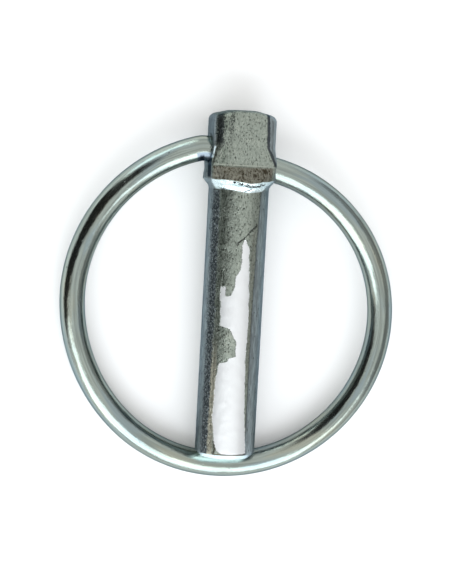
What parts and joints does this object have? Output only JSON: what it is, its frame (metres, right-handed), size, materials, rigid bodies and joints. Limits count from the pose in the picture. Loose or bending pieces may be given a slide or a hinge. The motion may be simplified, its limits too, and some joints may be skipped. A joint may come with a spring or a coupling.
{
  "type": "lynch pin",
  "caption": "Lynch pin: a short forged pin with a collar and a flattened head, and a swinging spring wire ring that snaps closed past the tip.",
  "frame": {"origin": "on the pin's axis, level with the seat, where the shank's plain round wall ends under the collar", "axes": "+Y along the pin from its tip to its head, +X across it, +Z out through the flat front of the head"},
  "size_m": [0.0563, 0.0618, 0.0123],
  "materials": {
    "forged_steel": "bright zinc plate over a satin forged surface",
    "spring_wire": "bright zinc plate over smooth drawn wire"
  },
  "bodies": {
    "pin": {"pin_body": "forged_steel"},
    "ring": {"spring_ring": "spring_wire"}
  },
  "joints": [
    {"name": "ring_swing", "type": "hinge", "parent": "pin", "child": "ring", "pos_m": [0, 0.005, 0], "axis": [0.9659, -0.2588, 0], "range_deg": [0, 350]}
  ]
}
